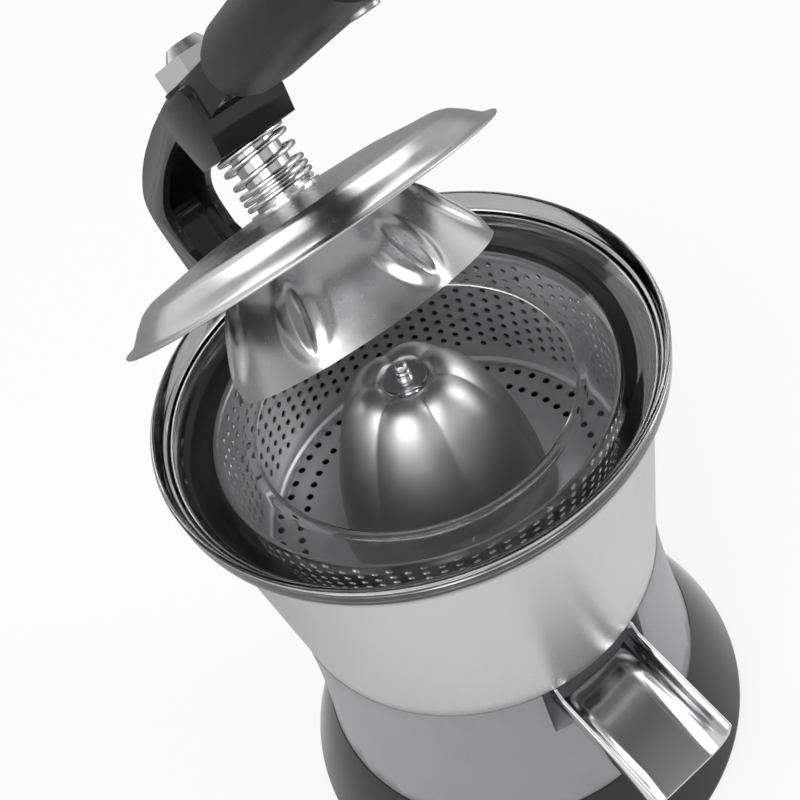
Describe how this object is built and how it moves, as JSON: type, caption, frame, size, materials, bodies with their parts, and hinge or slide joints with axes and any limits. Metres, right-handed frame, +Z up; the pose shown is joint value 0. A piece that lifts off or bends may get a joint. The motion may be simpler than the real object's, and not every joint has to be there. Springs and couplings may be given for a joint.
{
  "type": "citrus press",
  "caption": "Electric citrus press: motor stand, juice bowl with spout, strainer, clear splash ring, fluted reamer, and a sprung press head on a swan-neck lever arm.",
  "frame": {"origin": "on the bowl's axis, at the table under the rubber foot ring", "axes": "+Z up along the bowl's and spindle's axis; the spout points to -Y; the lever's hinge is at +Y with its axis along X"},
  "size_m": [0.196, 0.283, 0.4114],
  "materials": {
    "rubber_black": "matt",
    "base_black": "gloss",
    "grey_paint": "satin paint",
    "arm_black": "gloss enamel",
    "brushed_steel": "brushed",
    "polished_steel": "polished",
    "clear_plastic": "clear",
    "dark_plastic": "matt",
    "white_plastic": "matt",
    "red_plastic": "matt",
    "cast_aluminium": "as cast",
    "core_steel": "laminated",
    "copper_wire": "varnished",
    "bearing_bronze": "plain",
    "zinc_steel": "zinc"
  },
  "bodies": {
    "stand": {"foot_ring": "rubber_black", "base_plate": "dark_plastic", "base_screws": "zinc_steel", "base_shell": "base_black", "cord_inlet": "rubber_black", "motor_housing": "grey_paint", "motor_screws": "zinc_steel", "end_shield_lower": "cast_aluminium", "end_shield_upper": "cast_aluminium", "motor_stator": "core_steel", "motor_windings": "copper_wire", "run_capacitor": "white_plastic", "bearing_lower": "polished_steel", "bearing_upper": "polished_steel", "spindle_seal": "rubber_black", "start_switch": "dark_plastic", "juice_bowl": "brushed_steel", "spout": "polished_steel", "strainer_basket": "polished_steel", "splash_ring": "clear_plastic", "hinge_pin": "zinc_steel", "hinge_nut": "zinc_steel"},
    "lever": {"lever_arm": "arm_black", "lever_grip": "dark_plastic", "grip_screw": "zinc_steel", "hinge_bushes": "bearing_bronze", "lever_spring": "zinc_steel", "press_bush": "bearing_bronze", "press_spring": "polished_steel"},
    "press_head": {"press_shaft": "polished_steel", "press_nut": "polished_steel", "spring_washer": "polished_steel", "shaft_circlip": "zinc_steel", "press_cover": "brushed_steel", "bell_spacer": "zinc_steel", "press_bell": "brushed_steel"},
    "reamer_drive": {"drive_spindle": "zinc_steel", "motor_rotor": "core_steel", "cooling_fan": "dark_plastic", "reamer_hub": "white_plastic", "reamer": "brushed_steel", "reamer_cap": "clear_plastic", "reamer_pin": "polished_steel"},
    "switch_button": {"switch_plunger": "red_plastic"}
  },
  "joints": [
    {"name": "lever_hinge", "type": "hinge", "parent": "stand", "child": "lever", "pos_m": [0, 0.098, 0.1946], "axis": [1, 0, 0], "range_deg": [0, 34.9], "stiffness_Nm_per_rad": 1.6, "springref_deg": -68.75, "deforming": ["lever_spring"]},
    {"name": "press_slide", "type": "slide", "parent": "lever", "child": "press_head", "axis": [0, 0.5721, 0.8202], "range_m": [0, 0.006], "stiffness_N_per_m": 3000, "springref_m": -0.004, "deforming": ["press_spring"]},
    {"name": "reamer_spin", "type": "hinge", "parent": "stand", "child": "reamer_drive", "pos_m": [0, 0, 0.15], "axis": [0, 0, 1], "continuous": true},
    {"name": "switch_travel", "type": "slide", "parent": "stand", "child": "switch_button", "axis": [0, 0, -1], "range_m": [0, 0.0015]}
  ],
  "couplings": [
    {"joint": "switch_travel", "follows": "lever_hinge", "m_per_rad": 0.0022}
  ]
}
